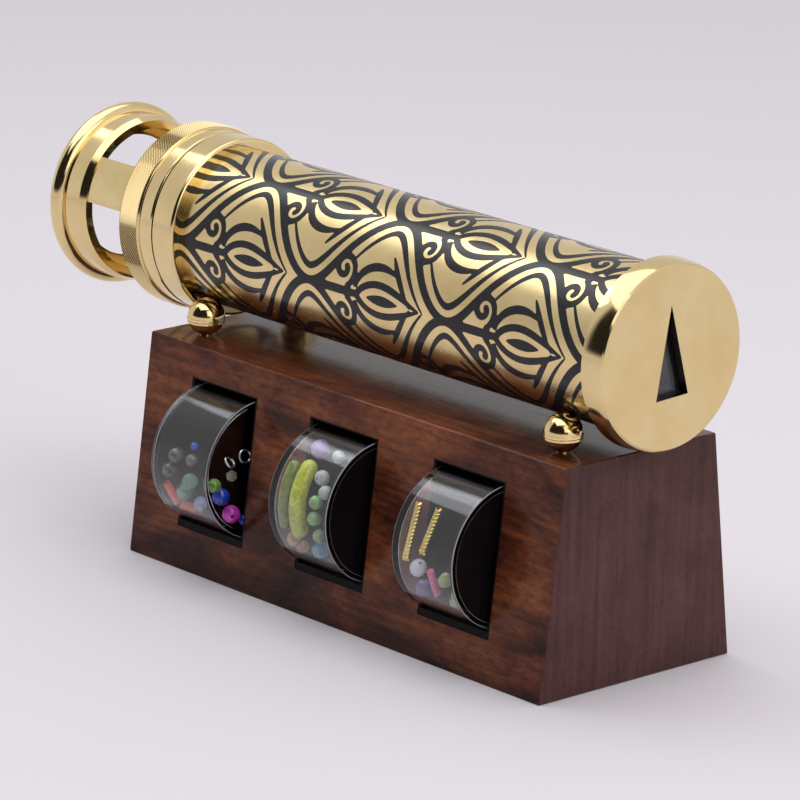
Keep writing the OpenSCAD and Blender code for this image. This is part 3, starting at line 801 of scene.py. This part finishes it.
def sweep(path, radius, sides=10):
    """A round wire along a path, closed at both ends."""
    corners, faces = [], []
    off_path = Vector((0.3, 0.5, 0.8))
    for i, place in enumerate(path):
        ahead = (path[min(i + 1, len(path) - 1)] - path[max(i - 1, 0)]).normalized()
        side = ahead.cross(off_path).normalized()
        across = ahead.cross(side)
        corners += [place + radius * (math.cos(a) * side + math.sin(a) * across)
                    for a in (2 * math.pi * k / sides for k in range(sides))]
    for i in range(len(path) - 1):
        for k in range(sides):
            here, beside = i * sides + k, i * sides + (k + 1) % sides
            faces.append([here, beside, beside + sides, here + sides])
    last = (len(path) - 1) * sides
    return corners, faces + [list(range(sides))[::-1], [last + k for k in range(sides)]]


def twisted_rods():
    """Replaces the two rods in cell 3 by three bright wires each, twisted together."""
    node = "cell_3_gold_rods"
    wires = 3
    wire_r = 0.58 * MM
    wire_offset = 0.64 * MM
    turn_len = 3.4 * MM
    path_points = 64
    points = np.array([tuple(v.co) for v in frame["nodes"][node].data.vertices])
    split_x = (points[:, 0].min() + points[:, 0].max()) / 2
    parts = []
    for group in (points[points[:, 0] < split_x], points[points[:, 0] >= split_x]):
        middle = group.mean(0)
        along = np.linalg.svd(group - middle, full_matrices=False)[2][0]
        reach = (group - middle) @ along
        line = Vector(along)
        side = line.cross(Vector((1, 0, 0))).normalized()
        across = line.cross(side)
        for wire in range(wires):
            path = []
            for step in np.linspace(reach.min(), reach.max(), path_points):
                angle = 2 * math.pi * (step / turn_len + wire / wires)
                path.append(Vector(middle) + line * step
                            + wire_offset * (math.cos(angle) * side + math.sin(angle) * across))
            parts.append(sweep(path, wire_r))
    piece("twisted_gold_rods", parts, "gold_wire", "cell_3", [node], sharp=60, weighted=False)


def clear_drums():
    """Replaces each drum by one with rounded rims. Cell 1 has its clear end to the right."""
    rim_rounding = 0.35 * MM
    for cell in (1, 2, 3):
        node = f"cell_{cell}_drum"
        low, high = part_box(node)
        radius = radius_of(node)
        bore = radius_of(f"cell_{cell}_end_disc") + FIT_GAP
        half = (high.x - low.x) / 2
        wall = radius - bore
        facing = -1 if cell == 1 else 1
        outline = rounded([
            (-half, 0), (-half, radius), (half, radius), (half, bore), (wall - half, bore),
            (wall - half, 0),
        ], rim_rounding, steps=5, closed=False)
        outline = [(facing * along, r) for along, r in outline]
        drum = turned(outline, Matrix.Translation((low + high) / 2), segments=256, closed=False)
        piece(f"clear_drum_{cell}", [drum], "clear_acrylic", f"cell_{cell}", [node])


# Stage: colours of the floor and of the surroundings
PALE = (0.72, 0.685, 0.727)
SKY = (0.72, 0.71, 0.725)
WINDOW_DARK = (0.02, 0.018, 0.017)

# Edges of the dark opening in degrees: each goes from where it starts to where it is full
WINDOW_SIDES = ((-46, -38), (78, 70))
WINDOW_ENDS = ((-2, 3), (56, 46))

# Distances from the middle between which the floor runs out into the surroundings
FLOOR_FADE = (0.9, 1.7)


def shown_rays(graph):
    """1 for rays that show the surroundings: straight, mirrored or through glass."""
    path = graph.add("ShaderNodeLightPath").outputs
    indirect = graph.math("MAXIMUM", path["Is Glossy Ray"], path["Is Transmission Ray"])
    return graph.math("MAXIMUM", path["Is Camera Ray"], indirect)


def floor():
    """A pale floor, painted a little darker towards the back left and lighter towards the right, which
    runs out into the pale surroundings.
    """
    made, graph, shader = material("pale_floor", Roughness=0.75, Specular_IOR_Level=0.2)
    place = graph.place()
    x, y = graph.split(place)[:2]
    clouds = graph.noise(place, scale=1.5)
    tone = graph.blend(graph.span(clouds, 0.3, 0.7), scale_colour(PALE, 0.985), PALE)
    # Painted light: the floor is painted a little darker towards the back left and a little lighter
    # towards the right.
    behind = graph.total((x, -0.80), (y, 0.60))
    aside = graph.total((x, 0.66), (y, 0.75))
    depth = graph.product(graph.span(behind, 0.3, 0.95, 1.0, 0.95),
                          graph.span(aside, -0.3, 0.3, 0.98, 1.03))
    graph.feed(shader, "Base Color", graph.shaded(tone, depth))
    far = graph.product(graph.span(graph.distance(x, y), *FLOOR_FADE), shown_rays(graph))
    horizon = graph.add("ShaderNodeEmission", {"Color": (*PALE, 1)}).outputs[0]
    graph.show(graph.mix(far, shader.outputs[0], horizon))
    half = 5.0
    mesh = bpy.data.meshes.new("floor")
    mesh.from_pydata([(-half, -half, 0), (half, -half, 0), (half, half, 0), (-half, half, 0)], [],
                     [(0, 1, 2, 3)])
    mesh.materials.append(made)
    add_object("floor", mesh)


def softbox(name, direction, distance, width, height, radiance, colour=(1, 1, 1)):
    """A rectangular lamp of a set brightness that faces the object."""
    target = Vector((0, 0, 0.08))
    energy_per_area = 4
    lamp = bpy.data.lights.new(name, "AREA")
    lamp.shape = "RECTANGLE"
    lamp.size, lamp.size_y = width, height
    lamp.energy = energy_per_area * width * height * radiance
    lamp.color = colour
    away = Vector(direction).normalized()
    turn = away.to_track_quat("Z", "Y").to_matrix().to_4x4()
    add_object(name, lamp).matrix_world = Matrix.Translation(target + away * distance) @ turn


def world():
    """Pale surroundings with a dark opening in front, which the metal's edges mirror."""
    made = bpy.data.worlds.new("studio")
    scene.world = made
    graph = Graph(made)
    x, y, z = graph.split(graph.add("ShaderNodeTexCoord").outputs["Generated"])
    azimuth = graph.math("ARCTAN2", x, graph.product(y, -1.0))
    height = graph.math("ARCSINE", z)
    edges = [graph.span(value, start * DEG, full * DEG)
             for value, limits in ((azimuth, WINDOW_SIDES), (height, WINDOW_ENDS))
             for start, full in limits]
    near_horizon = graph.span(height, 0.0, 0.4, 1.05, 0.94)
    overhead = graph.span(height, 0.5, 1.2, 0.0, 0.14)
    level = graph.product(graph.math("ADD", near_horizon, overhead),
                          graph.span(x, 0.1, 0.8, 1.0, 1.3))
    colour = graph.blend(graph.product(*edges), graph.shaded(SKY, level), WINDOW_DARK)
    background = made.node_tree.nodes["Background"]
    straight = graph.add("ShaderNodeLightPath").outputs["Is Camera Ray"]
    graph.feed(background, "Color", graph.blend(straight, colour, PALE))
    graph.feed(background, "Strength", graph.span(shown_rays(graph), 0.0, 1.0, 0.95, 1.0))


def camera():
    """A long lens that looks from the right, in front and a little above."""
    azimuth, elevation, roll = math.radians(48.36), math.radians(15.91), math.radians(1.099)
    distance = 1637 * MM
    target = Vector((-11.54, 0, 62.52)) * MM
    focal_px, frame_px = 5266, 800
    back = Vector((math.sin(azimuth) * math.cos(elevation), -math.cos(azimuth) * math.cos(elevation),
                   math.sin(elevation)))
    right = (-back).cross(Vector((0, 0, 1))).normalized()
    up = back.cross(right)
    rolled_right = math.cos(roll) * right + math.sin(roll) * up
    rolled_up = math.cos(roll) * up - math.sin(roll) * right
    made = bpy.data.cameras.new("camera")
    made.sensor_width = 36
    made.lens = focal_px / frame_px * made.sensor_width
    made.clip_end = 50
    eye = add_object("camera", made)
    turn = Matrix((rolled_right, rolled_up, back)).transposed().to_4x4()
    eye.matrix_world = Matrix.Translation(target + back * distance) @ turn
    scene.camera = eye


dress_nodes()
knurled_ring()
tube_enamel()
beads()
twisted_rods()
clear_drums()

floor()
world()
camera()
softbox("left_softbox", (-0.671, -0.18, 0.719), distance=1.3, width=0.8, height=0.25, radiance=1.38,
        colour=(0.92, 0.95, 1.0))
softbox("top_softbox", (-0.1, -0.1, 1.0), distance=1.5, width=2.2, height=1.8, radiance=0.92)
softbox("right_softbox", (0.85, -0.15, 0.5), distance=1.4, width=1.2, height=0.9, radiance=1.0)

scene.view_settings.view_transform = "Standard"
